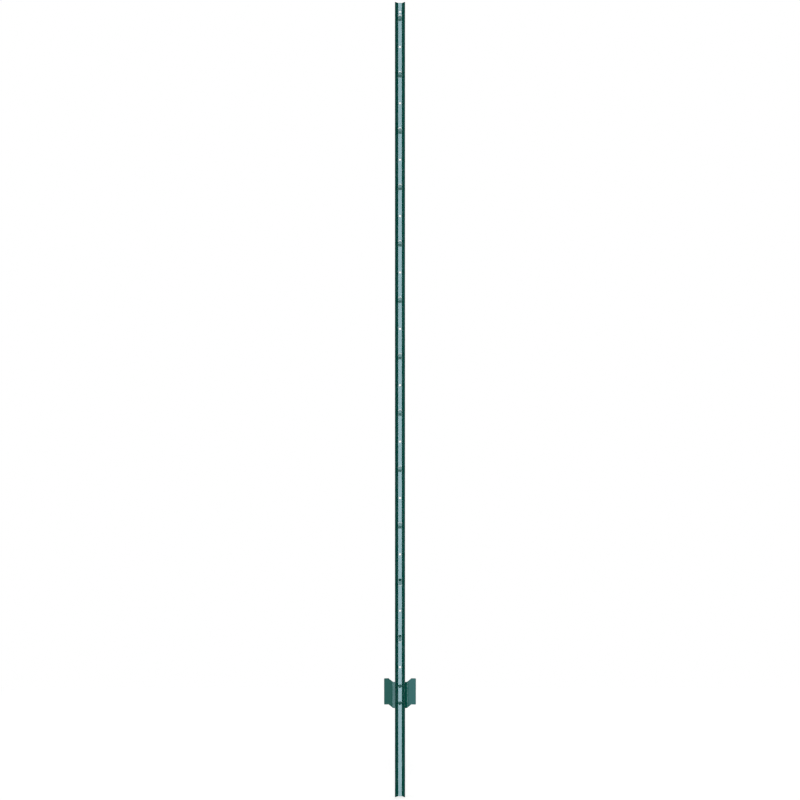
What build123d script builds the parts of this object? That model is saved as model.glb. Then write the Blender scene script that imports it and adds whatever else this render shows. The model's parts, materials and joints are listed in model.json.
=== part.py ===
from build123d import *

import math
import os

# A light fence post: one strip of steel rolled into a channel, with round wire holes and
# wire hooks pressed out of its web, and a bent anchor plate held behind it by two rivets.
# The origin is at the foot, in the middle of the web's outer face. +Z runs up the post,
# +X across it, and +Y is the side that the hooks and the plate stand on. Millimetres.

# Channel
post_length = 2134.0
post_width = 27.4
web_flat = 9.4
flange_angle = 68.0
steel_thickness = 1.9
channel_bend_radius = 1.5
slit_edge_radius = 0.4

# Holes and hooks take turns up the web, on one pitch
pitch = 151.7
lowest_hole_height = 347.2
top_hole_drop = 24.0
top_hook_clearance = 15.0
hole_diameter = 6.35

# Hooks, each a tongue sheared on three sides and pressed out of the web
lower_hook_count = 2
hook_shear_gap = 0.05
hook_bend_radius = 0.6
wire_gap = 2.0
step_angle = 32.0

# An upper hook opens upwards: it steps out, then leans out a little up to its nose
upper_hook_length = 17.7
upper_hook_width = 8.6
upper_root_below_middle = 6.8
upper_lean_angle = 4.0

# A lower hook opens downwards: it steps out, leans out further and ends upright
lower_hook_length = 20.4
lower_hook_width = 7.4
lower_root_above_middle = 10.8
lower_lean_angle = 6.0
lower_lean_length = 9.5

# A round-nosed punch dishes a lower hook at its step, which stretches its tongue, and
# raises a boss behind it
dish_radius = 3.4
dish_drop = 4.3
dish_stretch = 0.4
boss_stand_out = 1.0

# Anchor plate
plate_foot_height = 236.0
plate_width = 85.8
plate_height = 70.6
plate_thickness = 1.9
plate_centre_width = 14.0
plate_valley_spread = 38.2
plate_shoulder_spread = 61.4
plate_wing_lift = 9.8
plate_slope_angle = 30.0
plate_wing_angle = 10.0
plate_bend_radius = 2.5
plate_corner_radius = 2.0

# Rivets
rivet_diameter = 4.8
rivet_spacing = 45.7
rivet_edge_distance = 10.5
rivet_head_diameter = 9.4
rivet_head_height = 2.4
rivet_tail_diameter = 7.6
rivet_tail_height = 1.4
rivet_tail_chamfer = 0.5

# Places worked out from the sizes above
web_middle = -steel_thickness / 2
top_hole_height = post_length - top_hole_drop
row_room = top_hole_height - top_hook_clearance - pitch / 2 - lowest_hole_height
row_count = int(row_room // pitch) + 1
pitched_hole_heights = [lowest_hole_height + row * pitch for row in range(row_count)]
hole_heights = pitched_hole_heights + [top_hole_height]
hook_heights = [height + pitch / 2 for height in pitched_hole_heights]
lower_hook_heights = hook_heights[:lower_hook_count]
upper_hook_heights = hook_heights[lower_hook_count:]
upper_rivet_height = plate_foot_height + plate_height - rivet_edge_distance
lower_rivet_height = upper_rivet_height - rivet_spacing
rivet_heights = [upper_rivet_height, lower_rivet_height]


def rise_over(run, angle):
    """How far a slope at this angle moves sideways over this run."""
    return run * math.tan(math.radians(angle))


def bent_strip(points, bend_radius, thickness):
    """The section of a strip bent along these middle-line points, with square ends."""
    middle_line = FilletPolyline(*points, radius=bend_radius + thickness / 2)
    return trace(middle_line, line_width=thickness)


def across_web(outline):
    """A cutter with this outline, drawn in X and Z, that passes right through the web."""
    return extrude(Plane.XZ * outline, post_width, both=True)


def channel_section():
    """The rolled section: a flat web with a flange leaning out from each side."""
    bend_middle = channel_bend_radius + steel_thickness / 2
    corner_x = web_flat / 2 + rise_over(bend_middle, flange_angle / 2)
    lean = math.radians(flange_angle)
    rounding = slit_edge_radius * (math.sin(lean) + math.cos(lean) - 1)
    tip_x = post_width / 2 + rounding - steel_thickness / 2 * math.sin(lean)
    tip_y = web_middle - rise_over(tip_x - corner_x, flange_angle)
    right_side = [(corner_x, web_middle), (tip_x, tip_y)]
    left_side = [(-x, y) for x, y in reversed(right_side)]
    section = bent_strip(left_side + right_side, channel_bend_radius, steel_thickness)
    tip_corners = section.vertices().sort_by(Axis.Y)[:4]
    return fillet(tip_corners, slit_edge_radius)


def tongue_outline(root, length, half_width):
    """A tongue seen straight on: straight sides down from its root line, and a round nose."""
    root_line = Line((-half_width, root), (half_width, root))
    nose = Pos(0, half_width - length) * CenterArc((0, 0), half_width, 180, 180)
    return make_hull([root_line.edge(), nose.edge()])


def root_bend_drop(angle):
    """How far below the root line the middle lines of the web and the first fold cross."""
    return rise_over(hook_bend_radius + steel_thickness / 2, angle / 2)


def step_length():
    """How much of a tongue goes into the slope that takes it clear of the wire."""
    return (wire_gap + steel_thickness) / math.sin(math.radians(step_angle))


def pressed_hook(length, width, folds, dishes=()):
    """A hook's opening and its tongue, hanging from a root line at height 0.

    Each fold is an angle out from the web and a length of tongue, from the root on, so the
    nose of the bent tongue ends short of the opening that it was sheared from. A dish is the
    place of the punch that presses it.
    """
    out, level = web_middle, -root_bend_drop(folds[0][0])
    points = [(out, steel_thickness), (out, level)]
    for angle, run in folds:
        out += run * math.sin(math.radians(angle))
        level -= run * math.cos(math.radians(angle))
        points.append((out, level))
    side_view = bent_strip(points, hook_bend_radius, steel_thickness)
    back_corners = [(post_width, level), (post_width, steel_thickness)]
    back_view = make_face(Polyline(*points, *back_corners, close=True))
    tongue = extrude(Plane.YZ * side_view, width, both=True)
    behind = extrude(Plane.YZ * back_view, width, both=True)
    for place in dishes:
        tongue += place * Sphere(dish_radius + steel_thickness) & behind
        tongue -= place * Sphere(dish_radius)
    opening = tongue_outline(0, length, width / 2)
    edge = tongue_outline(steel_thickness, -level - hook_shear_gap, width / 2 - hook_shear_gap)
    return across_web(opening), tongue & across_web(edge)


def upper_hook():
    """A hook that opens upwards once it is turned over; it is drawn hanging as well."""
    lean_length = upper_hook_length - root_bend_drop(step_angle) - step_length()
    folds = [(step_angle, step_length()), (upper_lean_angle, lean_length)]
    return pressed_hook(upper_hook_length, upper_hook_width, folds)


def lower_hook():
    """A hook that opens downwards, with a dish pressed into its step."""
    bent_length = root_bend_drop(step_angle) + step_length() + lower_lean_length
    nose_length = lower_hook_length + dish_stretch - bent_length
    folds = [
        (step_angle, step_length()),
        (lower_lean_angle, lower_lean_length),
        (0, nose_length),
    ]
    punch_place = Pos(0, wire_gap + boss_stand_out - dish_radius, -dish_drop)
    return pressed_hook(lower_hook_length, lower_hook_width, folds, [punch_place])


def round_cutters(diameter, heights):
    """Round bars along Y that pierce the web and the plate at these heights."""
    bar = across_web(Circle(diameter / 2))
    return [Pos(0, 0, height) * bar for height in heights]


def post_channel():
    """The post itself, rolled and pierced from one strip."""
    cutters = round_cutters(hole_diameter, hole_heights)
    cutters += round_cutters(rivet_diameter, rivet_heights)
    tongues = []
    upper_opening, upper_tongue = upper_hook()
    for middle in upper_hook_heights:
        place = Pos(0, 0, middle - upper_root_below_middle) * Rot(Y=180)
        cutters.append(place * upper_opening)
        tongues.append(place * upper_tongue)
    lower_opening, lower_tongue = lower_hook()
    for middle in lower_hook_heights:
        place = Pos(0, 0, middle + lower_root_above_middle)
        cutters.append(place * lower_opening)
        tongues.append(place * lower_tongue)
    return extrude(channel_section(), post_length) - cutters + tongues


def plate_outline():
    """The plate seen straight on: its two wings stand higher than its middle."""
    right_edge = [
        (plate_valley_spread / 2, 0),
        (plate_shoulder_spread / 2, plate_wing_lift),
        (plate_width / 2, plate_wing_lift),
    ]
    lower_edge = [(-x, z) for x, z in reversed(right_edge)] + right_edge
    upper_edge = [(x, z + plate_height) for x, z in reversed(lower_edge)]
    outline = make_face(Polyline(*lower_edge, *upper_edge, close=True))
    columns = outline.vertices().group_by(Axis.X)
    return fillet(columns[0] + columns[-1], plate_corner_radius)


def plate_section():
    """The plate seen from above: flat on the web, back to a valley, then forward again."""
    middle = plate_thickness / 2
    slope_run = (plate_valley_spread - plate_centre_width) / 2
    blank_end = plate_width / 2 + plate_thickness
    wing_run = blank_end - plate_valley_spread / 2
    valley_y = middle + rise_over(slope_run, plate_slope_angle)
    end_y = valley_y - rise_over(wing_run, plate_wing_angle)
    right_side = [
        (plate_centre_width / 2, middle),
        (plate_valley_spread / 2, valley_y),
        (blank_end, end_y),
    ]
    left_side = [(-x, y) for x, y in reversed(right_side)]
    return bent_strip(left_side + right_side, plate_bend_radius, plate_thickness)


def anchor_plate():
    """The plate that keeps the post from turning or lifting, pierced for its rivets."""
    blank = extrude(plate_section(), plate_height + plate_wing_lift)
    cutter = extrude(Plane.XZ * plate_outline(), plate_width, both=True)
    plate = Pos(0, 0, plate_foot_height) * (blank & cutter)
    return plate - round_cutters(rivet_diameter, rivet_heights)


def rivet(height):
    """A round-headed rivet: its head lies in the channel, its tail is set behind the plate."""
    head_seat = -steel_thickness
    tail_end = plate_thickness + rivet_tail_height
    head_crown = (0, head_seat - rivet_head_height)
    head_rim = (rivet_head_diameter / 2, head_seat)
    dome = TangentArc(head_crown, head_rim, tangent=(1, 0))
    shank_and_tail = Polyline(
        head_rim,
        (rivet_diameter / 2, head_seat),
        (rivet_diameter / 2, plate_thickness),
        (rivet_tail_diameter / 2, plate_thickness),
        (rivet_tail_diameter / 2, tail_end - rivet_tail_chamfer),
        (rivet_tail_diameter / 2 - rivet_tail_chamfer, tail_end),
        (0, tail_end),
        head_crown,
    )
    half_section = make_face([*dome.edges(), *shank_and_tail.edges()])
    return Pos(0, 0, height) * revolve(half_section, Axis.Y)


pieces = {
    "post_channel": post_channel(),
    "anchor_plate": anchor_plate(),
    "upper_rivet": rivet(upper_rivet_height),
    "lower_rivet": rivet(lower_rivet_height),
}

os.makedirs("parts", exist_ok=True)
for name, piece in pieces.items():
    export_step(piece, f"parts/{name}.step")
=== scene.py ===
import json
import math
from collections import namedtuple

import bpy
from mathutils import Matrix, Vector


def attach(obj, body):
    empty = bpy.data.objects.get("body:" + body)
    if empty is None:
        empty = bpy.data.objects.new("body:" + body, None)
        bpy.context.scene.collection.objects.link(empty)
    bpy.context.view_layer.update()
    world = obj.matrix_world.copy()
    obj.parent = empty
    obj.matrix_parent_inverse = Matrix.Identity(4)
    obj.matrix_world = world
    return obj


bl_info = {
    "name": "Channel Fence Post",
    "version": (1, 0, 0),
    "blender": (4, 5, 0),
    "location": "View3D > Sidebar > Fence Post",
    "description": "Powder coats a rolled channel fence post and sets up its studio stage",
    "category": "Object",
}

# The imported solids, in metres, with +Z up the post and the channel open towards -Y.
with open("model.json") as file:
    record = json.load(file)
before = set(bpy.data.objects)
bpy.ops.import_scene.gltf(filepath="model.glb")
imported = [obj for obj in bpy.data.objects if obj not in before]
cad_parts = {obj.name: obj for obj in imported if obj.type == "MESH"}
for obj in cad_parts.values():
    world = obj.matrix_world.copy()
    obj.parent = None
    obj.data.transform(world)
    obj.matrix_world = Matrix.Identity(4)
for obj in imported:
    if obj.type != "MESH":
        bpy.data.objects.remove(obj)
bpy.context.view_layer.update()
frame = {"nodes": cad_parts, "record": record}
MM = 0.001

POST_COAT = "Polyester powder coat on rolled steel"
PLATE_COAT = "Polyester powder coat on pressed steel"
RIVET_COAT = "Polyester powder coat on rivets"
# The mirror layer of cured polyester, and the tint that it gives to what it mirrors
COAT_IOR = 1.5
MIRROR_TINT = "#D5EFFF"
# Slow changes over a coat: their size, what they add to the roughness at least and at most,
# and the share of the colour that stays where the coat is thickest, on sheet steel and rivets
CLOUD_SIZE = 90 * MM
CLOUD_DULLNESS = (-0.02, 0.03)
STEEL_TONE = 0.93
RIVET_TONE = 0.85
# How many times longer the ripples are along the post, where its steel was rolled
ROLLED_STRETCH = 6.0
# Cosines of the turn between a face and its rounded edge, where the edge starts to turn darker and
# duller, and where it is darkest and dullest
EDGE_TURN = (0.98, 0.75)
EDGE_SAMPLES = 6
# How cut edges differ: a darker green, what they add to the roughness, and how much of their
# colour turns to that darker green
DARK_EDGE_COLOUR = "#032F28"
EDGE_DULLNESS = 0.25
EDGE_DARKENING = 0.7
# Zones of the post that differ as well: the place along Y where each starts and where it is
# complete, then its dullness and its darkening
POST_ZONES = {
    "pressed hooks": (0.2 * MM, 1.2 * MM, 0.12, 0.0),
    "slit edges": (-16.5 * MM, -16.9 * MM, 0.0, 0.9),
}
# How far outside a hole's edge its bead is centred, as a share of the bead's radius, and how
# many sides its ring and its round profile have
BEAD_SETBACK = 0.6
RING_SIDES = 64
BEAD_SIDES = 12

# Softboxes: where each stands, the point that it faces, its width and height in metres, and
# its watts, at which a colour renders about as it is written
Softbox = namedtuple("Softbox", "place target width height watts")
FRONT_STRIP = Softbox(place=(0, -6.3, 1.1), target=(0, 0, 1.1), width=1.4, height=6.4, watts=380.0)
LEFT_SOFTBOX = Softbox(place=(-4.3, -2.5, 0.8), target=(0, 0, 0.8), width=1.5, height=3.8, watts=60.0)
BACK_SOFTBOX = Softbox(place=(1.5, 5.0, 2.2), target=(0, 0, 1.0), width=2.5, height=3.5, watts=80.0)
# Mirrored by the steps of the upper hooks, which face up and forward
TOP_SOFTBOX = Softbox(place=(0, -2.4, 6.2), target=(0, 0, 1.4), width=2.0, height=2.5, watts=31.0)
# Mirrored by the plate's right wing
LEFT_CARD = Softbox(place=(-1.7, -4.7, 1.0), target=(0, 0, 1.0), width=1.0, height=4.0, watts=21.8)
CARD_COLOUR = "#BCF5FF"
WHITE = (1, 1, 1)
# Strength of the white world as a light, where rays don't see it as the background
WORLD_LIGHT = 0.45

# Black cloth flags, which only mirror rays see: each one's name, and the degrees round the
# post from the camera's side, towards +X, where it starts and ends
FLAGS = {
    "right flag": (22, 100),
    "left flag": (-51, -28),
    "back right flag": (110, 160),
    "back left flag": (-160, -110),
}
FLAG_COLOUR = "#050505"
# How far the flags stand from the post and how tall they are, in metres, the degrees that
# one flat panel of them takes up, and how far below the floor the flat flag lies
FLAG_DISTANCE = 4.5
FLAG_HEIGHT = 9.0
FLAG_STEP = 10
FLAG_DROP = 1.6

# The floor reflects 0.6 and glows 0.6 for the camera, so it is white but for the shadow
FLOOR_COLOUR = (0.6, 0.6, 0.6, 1)
FLOOR_GLOW = 0.6
# Half the length of the floor's sides, in metres
FLOOR_REACH = 2.2
# Corners of a level square that reaches 1 m each way
SQUARE = ((-1, -1), (1, -1), (1, 1), (-1, 1))


def linear(hex_colour):
    """An sRGB hex colour as linear RGBA."""
    channels = [int(hex_colour[i:i + 2], 16) / 255 for i in (1, 3, 5)]
    return tuple(c / 12.92 if c <= 0.04045 else ((c + 0.055) / 1.055) ** 2.4 for c in channels) + (1.0,)


def add_node(tree, kind, inputs=None, **settings):
    """Adds a node with its settings. An input is a value, or the socket that feeds it."""
    node = tree.nodes.new(kind)
    for name, value in settings.items():
        setattr(node, name, value)
    for name, value in (inputs or {}).items():
        if isinstance(value, bpy.types.NodeSocket):
            tree.links.new(value, node.inputs[name])
        else:
            node.inputs[name].default_value = value
    return node


class FencePostCoat(bpy.types.PropertyGroup):
    colour: bpy.props.FloatVectorProperty(
        name="Coat colour",
        description="Colour of the cured powder coat",
        subtype="COLOR",
        size=4,
        min=0,
        max=1,
        default=linear("#04493F"),
    )
    roughness: bpy.props.FloatProperty(
        name="Roughness",
        description="Roughness of the coat, where 0.2 is a gloss coat and 0.5 a satin one",
        subtype="FACTOR",
        min=0,
        max=1,
        default=0.2,
    )
    peel_size: bpy.props.FloatProperty(
        name="Orange peel size",
        description="Distance from one ripple of the cured coat to the next",
        unit="LENGTH",
        default=2.2 * MM,
    )
    peel_depth: bpy.props.FloatProperty(
        name="Orange peel depth",
        description="Height of the ripples in the cured coat",
        unit="LENGTH",
        default=0.006 * MM,
    )
    edge_radius: bpy.props.FloatProperty(
        name="Edge radius",
        description="How far the coat rounds the cut edges of the steel",
        unit="LENGTH",
        default=0.35 * MM,
    )


class FencePostBeads(bpy.types.PropertyGroup):
    bead_radius: bpy.props.FloatProperty(
        name="Bead radius",
        description="Radius of the bead of powder that gathers round each pierced edge",
        unit="LENGTH",
        default=0.28 * MM,
    )
    steel_thickness: bpy.props.FloatProperty(
        name="Steel thickness",
        description="Distance between the two beads of a hole, on the two faces of the web",
        unit="LENGTH",
        default=1.9 * MM,
    )


class FencePostStage(bpy.types.PropertyGroup):
    camera_distance: bpy.props.FloatProperty(
        name="Camera distance",
        description="Distance from the camera to the web of the post",
        unit="LENGTH",
        default=6.0,
    )
    camera_height: bpy.props.FloatProperty(
        name="Camera height",
        description="Height of the camera above the foot of the post",
        unit="LENGTH",
        default=1.0658,
    )
    view_height: bpy.props.FloatProperty(
        name="View height",
        description="Height of the picture where the post stands",
        unit="LENGTH",
        default=2.1528,
    )
    strip_colour: bpy.props.FloatVectorProperty(
        name="Strip colour",
        description="Colour of the tall strip light that the web mirrors",
        subtype="COLOR",
        size=4,
        min=0,
        max=1,
        default=linear("#FFFFFF"),
    )


def cad_node(name):
    """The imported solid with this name."""
    if name not in frame["nodes"]:
        raise RuntimeError(f"the packed model has no node {name}")
    return frame["nodes"][name]


def give_material(node_name, material):
    """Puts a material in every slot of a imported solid."""
    for slot in cad_node(node_name).material_slots:
        slot.material = material


def powder_coat(name, settings, thick_tone, stretch=1.0, zones=()):
    """Polyester powder, sprayed dry on steel and cured in an oven.

    The eye sees an even, fairly glossy green with a faint orange peel in its highlights.
    Cut edges are rounded, darker and duller. Stretch draws the ripples out along the post
    where the steel below was rolled. Zones are places along Y, at the pressed hooks and the
    slit flange tips, that are duller or darker.
    """
    material = bpy.data.materials.new(name)
    material.use_nodes = True
    tree = material.node_tree
    tree.nodes.clear()
    place = add_node(tree, "ShaderNodeTexCoord")
    along = add_node(
        tree,
        "ShaderNodeMapping",
        {"Vector": place.outputs["Object"], "Scale": (1, 1, 1 / stretch)},
    )
    peel = add_node(
        tree,
        "ShaderNodeTexNoise",
        {"Vector": along.outputs["Vector"], "Scale": 1 / settings.peel_size, "Detail": 2.0},
    )
    cloud = add_node(
        tree,
        "ShaderNodeTexNoise",
        {"Vector": along.outputs["Vector"], "Scale": 1 / CLOUD_SIZE, "Detail": 3.0},
    )
    rounded = add_node(
        tree,
        "ShaderNodeBevel",
        {"Radius": settings.edge_radius},
        samples=EDGE_SAMPLES,
    )
    surface = add_node(tree, "ShaderNodeNewGeometry")
    bend = add_node(
        tree,
        "ShaderNodeVectorMath",
        {0: rounded.outputs["Normal"], 1: surface.outputs["Normal"]},
        operation="DOT_PRODUCT",
    )
    edge = add_node(
        tree,
        "ShaderNodeMapRange",
        {"Value": bend.outputs["Value"], "From Min": EDGE_TURN[0], "From Max": EDGE_TURN[1]},
    )
    thick = [channel * thick_tone for channel in settings.colour[:3]]
    body = add_node(
        tree,
        "ShaderNodeMix",
        {"Factor": cloud.outputs["Fac"], "A": (*thick, 1), "B": settings.colour},
        data_type="RGBA",
    )
    gloss = add_node(
        tree,
        "ShaderNodeMapRange",
        {
            "Value": cloud.outputs["Fac"],
            "From Min": 0.3,
            "From Max": 0.7,
            "To Min": settings.roughness + CLOUD_DULLNESS[0],
            "To Max": settings.roughness + CLOUD_DULLNESS[1],
        },
    )
    depth = add_node(tree, "ShaderNodeSeparateXYZ", {"Vector": place.outputs["Object"]})
    # Cut edges and the zones get more roughness and a share of a darker green
    changes = [(edge.outputs["Result"], EDGE_DULLNESS, EDGE_DARKENING)]
    for start, complete, dullness, darkening in zones:
        zone = add_node(
            tree,
            "ShaderNodeMapRange",
            {"Value": depth.outputs["Y"], "From Min": start, "From Max": complete},
        )
        changes.append((zone.outputs["Result"], dullness, darkening))
    colour, roughness = body.outputs[2], gloss.outputs["Result"]
    for share, dullness, darkening in changes:
        duller = add_node(
            tree,
            "ShaderNodeMath",
            {0: share, 1: dullness, 2: roughness},
            operation="MULTIPLY_ADD",
        )
        dark_share = add_node(tree, "ShaderNodeMath", {0: share, 1: darkening}, operation="MULTIPLY")
        darker = add_node(
            tree,
            "ShaderNodeMix",
            {"Factor": dark_share.outputs["Value"], "A": colour, "B": linear(DARK_EDGE_COLOUR)},
            data_type="RGBA",
        )
        colour, roughness = darker.outputs[2], duller.outputs["Value"]
    ripple = add_node(
        tree,
        "ShaderNodeBump",
        {
            "Height": peel.outputs["Fac"],
            "Distance": settings.peel_depth,
            "Normal": rounded.outputs["Normal"],
        },
    )
    shader = add_node(
        tree,
        "ShaderNodeBsdfPrincipled",
        {
            "Base Color": colour,
            "Roughness": roughness,
            "Normal": ripple.outputs["Normal"],
            "IOR": COAT_IOR,
            "Specular Tint": linear(MIRROR_TINT),
        },
    )
    add_node(tree, "ShaderNodeOutputMaterial", {"Surface": shader.outputs["BSDF"]})
    return material


def bead_tree(material):
    """Geometry Nodes that lay a ring of coat round each hole, on both faces of the web."""
    tree = bpy.data.node_groups.new("Coat beads round holes", "GeometryNodeTree")
    face = tree.interface
    face.new_socket("Hole Centres", in_out="INPUT", socket_type="NodeSocketGeometry")
    for name in ("Ring Radius", "Bead Radius", "Steel Thickness"):
        face.new_socket(name, in_out="INPUT", socket_type="NodeSocketFloat")
    face.new_socket("Beads", in_out="OUTPUT", socket_type="NodeSocketGeometry")
    sizes = add_node(tree, "NodeGroupInput").outputs
    ring = add_node(
        tree,
        "GeometryNodeCurvePrimitiveCircle",
        {"Resolution": RING_SIDES, "Radius": sizes["Ring Radius"]},
    )
    profile = add_node(
        tree,
        "GeometryNodeCurvePrimitiveCircle",
        {"Resolution": BEAD_SIDES, "Radius": sizes["Bead Radius"]},
    )
    bead = add_node(
        tree,
        "GeometryNodeCurveToMesh",
        {"Curve": ring.outputs["Curve"], "Profile Curve": profile.outputs["Curve"]},
    )
    outer = add_node(
        tree,
        "GeometryNodeTransform",
        {"Geometry": bead.outputs["Mesh"], "Rotation": (math.radians(90), 0, 0)},
    )
    back = add_node(
        tree,
        "ShaderNodeMath",
        {0: sizes["Steel Thickness"], 1: -1.0},
        operation="MULTIPLY",
    )
    step = add_node(tree, "ShaderNodeCombineXYZ", {"Y": back.outputs["Value"]})
    inner = add_node(
        tree,
        "GeometryNodeTransform",
        {"Geometry": outer.outputs["Geometry"], "Translation": step.outputs["Vector"]},
    )
    pair = add_node(tree, "GeometryNodeJoinGeometry")
    for ring_face in (outer, inner):
        tree.links.new(ring_face.outputs["Geometry"], pair.inputs["Geometry"])
    placed = add_node(
        tree,
        "GeometryNodeInstanceOnPoints",
        {"Points": sizes["Hole Centres"], "Instance": pair.outputs["Geometry"]},
    )
    real = add_node(
        tree,
        "GeometryNodeRealizeInstances",
        {"Geometry": placed.outputs["Instances"]},
    )
    smooth = add_node(
        tree,
        "GeometryNodeSetShadeSmooth",
        {"Geometry": real.outputs["Geometry"]},
    )
    coated = add_node(
        tree,
        "GeometryNodeSetMaterial",
        {"Geometry": smooth.outputs["Geometry"], "Material": material},
    )
    add_node(tree, "NodeGroupOutput", {"Beads": coated.outputs["Geometry"]})
    return tree


def hole_places():
    """Heights of the web's round holes and their radius, from the record's mounts."""
    heights, radius = set(), 0.0
    for mount in frame["record"]["mounts"]:
        if mount["kind"] == "bolt_pattern":
            half = mount["dims"]["spacing_y_mm"] * MM / 2
            heights |= {round(mount["pos_m"][2] + side * half, 5) for side in (-1, 1)}
            radius = mount["dims"]["hole_r_mm"] * MM
    if not heights:
        raise RuntimeError("the record states no holes in the web")
    return sorted(heights), radius


def apply_nodes(piece):
    """Turns what a piece's node modifier makes into its plain mesh."""
    graph = bpy.context.evaluated_depsgraph_get()
    made = bpy.data.meshes.new_from_object(piece.evaluated_get(graph))
    piece.modifiers.clear()
    piece.data = made
    if not made.polygons:
        raise RuntimeError(f"{piece.name} came out empty")


def link(piece):
    bpy.context.scene.collection.objects.link(piece)
    return piece


def aim(piece, target):
    """Turns a light or camera so that it looks at a point."""
    way = Vector(target) - piece.location
    piece.rotation_euler = way.to_track_quat("-Z", "Y").to_euler()


def softbox(name, plan, colour, only_mirrored=False):
    """A rectangular studio light that the camera doesn't see."""
    lamp = bpy.data.lights.new(name, "AREA")
    lamp.shape = "RECTANGLE"
    lamp.size, lamp.size_y = plan.width, plan.height
    lamp.color, lamp.energy = colour, plan.watts
    light = link(bpy.data.objects.new(name, lamp))
    light.location = plan.place
    aim(light, plan.target)
    light.visible_camera = False
    light.visible_diffuse = not only_mirrored


def black_flag(name, corners, panels):
    """A screen of black cloth, which only mirror rays see."""
    cloth = bpy.data.meshes.new(name)
    cloth.from_pydata(corners, [], panels)
    cloth.materials.append(bpy.data.materials["Black flag cloth"])
    flag = link(bpy.data.objects.new(name.replace(" ", "_"), cloth))
    for ray in ("camera", "diffuse", "transmission", "volume_scatter", "shadow"):
        setattr(flag, f"visible_{ray}", False)


def curved_flag(name, start, end):
    """A flag that stands round the post, from one angle to another."""
    count = max(2, round((end - start) / FLAG_STEP) + 1)
    angles = [math.radians(start + (end - start) * i / (count - 1)) for i in range(count)]
    foot = [(math.sin(a) * FLAG_DISTANCE, -math.cos(a) * FLAG_DISTANCE) for a in angles]
    low, high = -FLAG_HEIGHT / 3, FLAG_HEIGHT * 2 / 3
    corners = [(x, y, z) for z in (low, high) for x, y in foot]
    panels = [(i, i + 1, i + 1 + count, i + count) for i in range(count - 1)]
    black_flag(name, corners, panels)


def flag_material():
    """Black flocked cloth, which gives nothing back."""
    material = bpy.data.materials.new("Black flag cloth")
    material.use_nodes = True
    tree = material.node_tree
    tree.nodes.clear()
    cloth = add_node(tree, "ShaderNodeBsdfDiffuse", {"Color": linear(FLAG_COLOUR)})
    add_node(tree, "ShaderNodeOutputMaterial", {"Surface": cloth.outputs["BSDF"]})


def white_world():
    """White for every ray that sees it straight, mirrored or refracted, and dimmer as light."""
    world = bpy.data.worlds.new("Studio white")
    world.use_nodes = True
    tree = world.node_tree
    tree.nodes.clear()
    rays = add_node(tree, "ShaderNodeLightPath").outputs
    seen = rays["Is Camera Ray"]
    for kind in ("Is Glossy Ray", "Is Transmission Ray"):
        either = add_node(tree, "ShaderNodeMath", {0: seen, 1: rays[kind]}, operation="MAXIMUM")
        seen = either.outputs["Value"]
    strength = add_node(
        tree,
        "ShaderNodeMapRange",
        {"Value": seen, "To Min": WORLD_LIGHT, "To Max": 1.0},
    )
    glow = add_node(
        tree,
        "ShaderNodeBackground",
        {"Color": (1, 1, 1, 1), "Strength": strength.outputs["Result"]},
    )
    add_node(tree, "ShaderNodeOutputWorld", {"Surface": glow.outputs["Background"]})
    bpy.context.scene.world = world


def floor_material():
    """Matt white paint, with enough glow for the camera that only the shadow shows on it."""
    material = bpy.data.materials.new("Matt white studio floor")
    material.use_nodes = True
    tree = material.node_tree
    tree.nodes.clear()
    paint = add_node(tree, "ShaderNodeBsdfDiffuse", {"Color": FLOOR_COLOUR})
    rays = add_node(tree, "ShaderNodeLightPath").outputs
    level = add_node(
        tree,
        "ShaderNodeMath",
        {0: rays["Is Camera Ray"], 1: FLOOR_GLOW},
        operation="MULTIPLY",
    )
    glow = add_node(
        tree,
        "ShaderNodeEmission",
        {"Color": (1, 1, 1, 1), "Strength": level.outputs["Value"]},
    )
    both = add_node(
        tree,
        "ShaderNodeAddShader",
        {0: paint.outputs["BSDF"], 1: glow.outputs["Emission"]},
    )
    add_node(tree, "ShaderNodeOutputMaterial", {"Surface": both.outputs["Shader"]})
    return material


class FENCEPOST_OT_post_channel(bpy.types.Operator):
    """Coats the rolled channel, with the ripples of its coat drawn out along the rolling"""

    bl_idname = "fence_post.post_channel"
    bl_label = "Coat the post channel"

    def execute(self, context):
        settings = context.scene.fence_post_coat
        coat = powder_coat(POST_COAT, settings, STEEL_TONE, ROLLED_STRETCH, POST_ZONES.values())
        give_material("post_channel", coat)
        return {"FINISHED"}


class FENCEPOST_OT_anchor_plate(bpy.types.Operator):
    """Coats the bent anchor plate"""

    bl_idname = "fence_post.anchor_plate"
    bl_label = "Coat the anchor plate"

    def execute(self, context):
        coat = powder_coat(PLATE_COAT, context.scene.fence_post_coat, STEEL_TONE)
        give_material("anchor_plate", coat)
        return {"FINISHED"}


class FENCEPOST_OT_rivets(bpy.types.Operator):
    """Coats the two rivets that hold the plate"""

    bl_idname = "fence_post.rivets"
    bl_label = "Coat the rivets"

    def execute(self, context):
        coat = powder_coat(RIVET_COAT, context.scene.fence_post_coat, RIVET_TONE)
        for name in ("upper_rivet", "lower_rivet"):
            give_material(name, coat)
        return {"FINISHED"}


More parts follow.
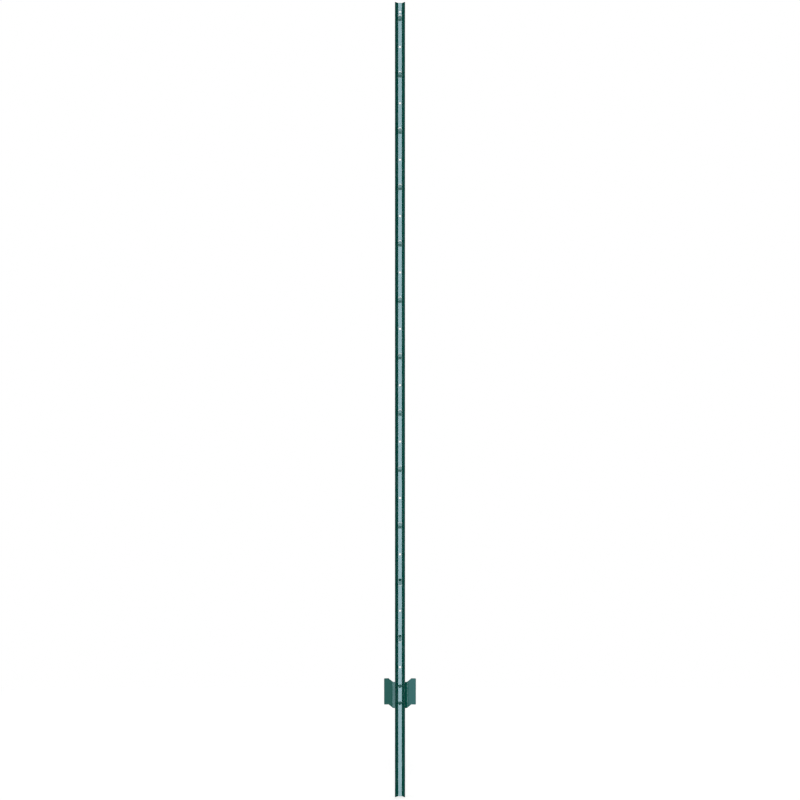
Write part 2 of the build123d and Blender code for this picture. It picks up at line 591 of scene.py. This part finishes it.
class FENCEPOST_OT_hole_beads(bpy.types.Operator):
    """Lays a bead of coat round each pierced hole, on both faces of the web"""

    bl_idname = "fence_post.hole_beads"
    bl_label = "Add the beads round the holes"

    def execute(self, context):
        settings = context.scene.fence_post_beads
        heights, radius = hole_places()
        centres = bpy.data.meshes.new("hole_centres")
        centres.from_pydata([(0, 0, height) for height in heights], [], [])
        piece = link(bpy.data.objects.new("hole_coat_beads", centres))
        tree = bead_tree(bpy.data.materials[POST_COAT])
        modifier = piece.modifiers.new("Beads", "NODES")
        modifier.node_group = tree
        sizes = {
            "Ring Radius": radius + settings.bead_radius * BEAD_SETBACK,
            "Bead Radius": settings.bead_radius,
            "Steel Thickness": settings.steel_thickness,
        }
        for socket in tree.interface.items_tree:
            if socket.name in sizes:
                modifier[socket.identifier] = sizes[socket.name]
        apply_nodes(piece)
        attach(piece, "root")
        return {"FINISHED"}


class FENCEPOST_OT_stage(bpy.types.Operator):
    """Sets up the floor, the lights and the camera"""

    bl_idname = "fence_post.stage"
    bl_label = "Set up the stage"

    def execute(self, context):
        settings = context.scene.fence_post_stage
        corners = [(x * FLOOR_REACH, y * FLOOR_REACH, 0) for x, y in SQUARE]
        sheet = bpy.data.meshes.new("studio_floor")
        sheet.from_pydata(corners, [], [(0, 1, 2, 3)])
        sheet.materials.append(floor_material())
        floor = link(bpy.data.objects.new("studio_floor", sheet))
        # The web mirrors the strip light's lower end, which the floor would otherwise hide.
        floor.visible_glossy = False
        floor.visible_shadow = False
        white_world()
        flag_material()
        for name, (start, end) in FLAGS.items():
            curved_flag(name, start, end)
        corners = [(x * FLAG_DISTANCE, y * FLAG_DISTANCE, -FLAG_DROP) for x, y in SQUARE]
        black_flag("lower flag", corners, [(0, 1, 2, 3)])
        softbox("front strip", FRONT_STRIP, settings.strip_colour[:3])
        softbox("left softbox", LEFT_SOFTBOX, WHITE)
        softbox("back softbox", BACK_SOFTBOX, WHITE)
        softbox("top softbox", TOP_SOFTBOX, WHITE, only_mirrored=True)
        softbox("left card", LEFT_CARD, linear(CARD_COLOUR)[:3], only_mirrored=True)
        lens = bpy.data.cameras.new("camera")
        lens.lens = lens.sensor_width * settings.camera_distance / settings.view_height
        lens.clip_start, lens.clip_end = 0.1, 100.0
        camera = link(bpy.data.objects.new("camera", lens))
        camera.location = (0, -settings.camera_distance, settings.camera_height)
        camera.rotation_euler = (math.radians(90), 0, 0)
        context.scene.camera = camera
        context.scene.view_settings.view_transform = "Standard"
        return {"FINISHED"}


class FENCEPOST_PT_panel(bpy.types.Panel):
    bl_idname = "FENCEPOST_PT_panel"
    bl_label = "Channel Fence Post"
    bl_space_type = "VIEW_3D"
    bl_region_type = "UI"
    bl_category = "Fence Post"

    def draw(self, context):
        for group, operators in PANEL_ROWS:
            box = self.layout.box()
            settings = getattr(context.scene, group)
            for name in settings.__annotations__:
                box.prop(settings, name)
            for operator in operators:
                box.operator(operator.bl_idname)


PANEL_ROWS = (
    (
        "fence_post_coat",
        (FENCEPOST_OT_post_channel, FENCEPOST_OT_anchor_plate, FENCEPOST_OT_rivets),
    ),
    ("fence_post_beads", (FENCEPOST_OT_hole_beads,)),
    ("fence_post_stage", (FENCEPOST_OT_stage,)),
)
SETTINGS = {
    "fence_post_coat": FencePostCoat,
    "fence_post_beads": FencePostBeads,
    "fence_post_stage": FencePostStage,
}
OPERATORS = [operator for _, operators in PANEL_ROWS for operator in operators]
CLASSES = (*SETTINGS.values(), *OPERATORS, FENCEPOST_PT_panel)


def register():
    for cls in CLASSES:
        bpy.utils.register_class(cls)
    for name, group in SETTINGS.items():
        setattr(bpy.types.Scene, name, bpy.props.PointerProperty(type=group))


def unregister():
    for name in SETTINGS:
        delattr(bpy.types.Scene, name)
    for cls in reversed(CLASSES):
        bpy.utils.unregister_class(cls)


def main():
    register()
    bpy.ops.fence_post.post_channel()
    bpy.ops.fence_post.anchor_plate()
    bpy.ops.fence_post.rivets()
    bpy.ops.fence_post.hole_beads()
    bpy.ops.fence_post.stage()


if __name__ == "__main__":
    main()
